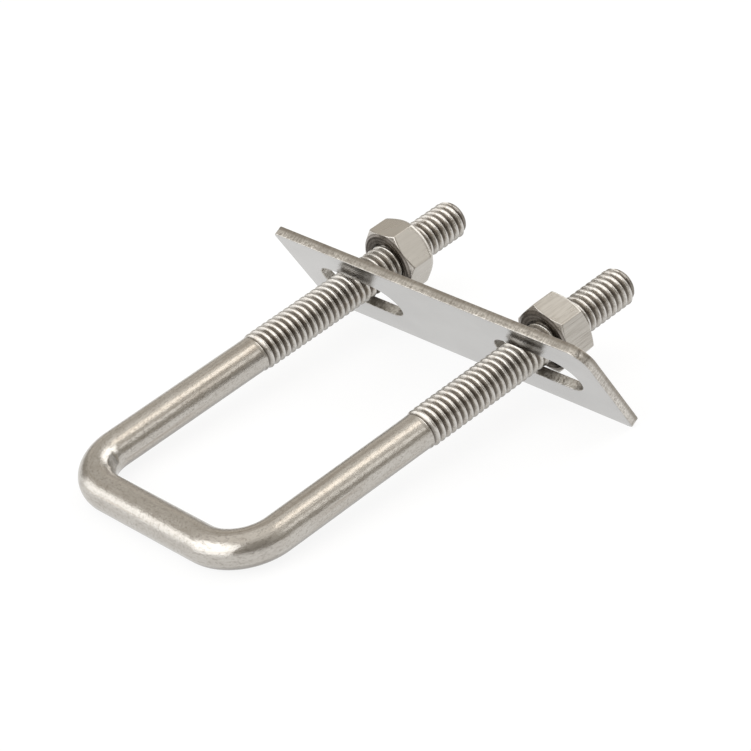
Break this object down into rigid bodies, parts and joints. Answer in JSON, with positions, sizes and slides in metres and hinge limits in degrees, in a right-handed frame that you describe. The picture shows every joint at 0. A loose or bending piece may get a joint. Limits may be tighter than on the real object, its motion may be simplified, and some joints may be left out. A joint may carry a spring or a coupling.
{
  "type": "square u-bolt with backing plate",
  "caption": "Square-bend round-rod U-bolt with threaded legs, a loose slotted backing plate and hex nuts, for clamping or anchoring on a boat.",
  "frame": {"origin": "middle of the closed end's centreline, halfway between the legs", "axes": "+Y along the legs towards their threaded ends, +X from the left leg to the right leg, +Z out of the plane of the legs"},
  "size_m": [0.0816, 0.1016, 0.0224],
  "materials": {
    "rod_steel": "drawn and polished stainless steel with rolled thread",
    "plate_steel": "satin stainless sheet with sheared edges",
    "nut_steel": "machined stainless steel with brushed flats"
  },
  "bodies": {
    "rod": {"u_bolt": "rod_steel"},
    "plate": {"backing_plate": "plate_steel"},
    "left_nut_carrier": {"left_nut_bearing_face": "nut_steel"},
    "left_nut_hex": {"left_nut": "nut_steel"},
    "right_nut_carrier": {"right_nut_bearing_face": "nut_steel"},
    "right_nut_hex": {"right_nut": "nut_steel"}
  },
  "joints": [
    {"name": "plate_slide", "type": "slide", "parent": "rod", "child": "plate", "axis": [0, 1, 0], "range_m": [-0.058, 0]},
    {"name": "left_nut_travel", "type": "slide", "parent": "rod", "child": "left_nut_carrier", "axis": [0, 1, 0], "range_m": [-0.0047, 0.0121]},
    {"name": "left_nut_turn", "type": "hinge", "parent": "left_nut_carrier", "child": "left_nut_hex", "pos_m": [-0.02265, 0.0825, 0], "axis": [0, 1, 0], "range_deg": [-1199, 3087]},
    {"name": "right_nut_travel", "type": "slide", "parent": "rod", "child": "right_nut_carrier", "axis": [0, 1, 0], "range_m": [-0.0012, 0.0148]},
    {"name": "right_nut_turn", "type": "hinge", "parent": "right_nut_carrier", "child": "right_nut_hex", "pos_m": [0.02265, 0.0798, 0], "axis": [0, 1, 0], "range_deg": [-306, 3775]}
  ],
  "couplings": [
    {"joint": "left_nut_travel", "follows": "left_nut_turn", "m_per_rad": 0.00022457},
    {"joint": "right_nut_travel", "follows": "right_nut_turn", "m_per_rad": 0.00022457}
  ]
}
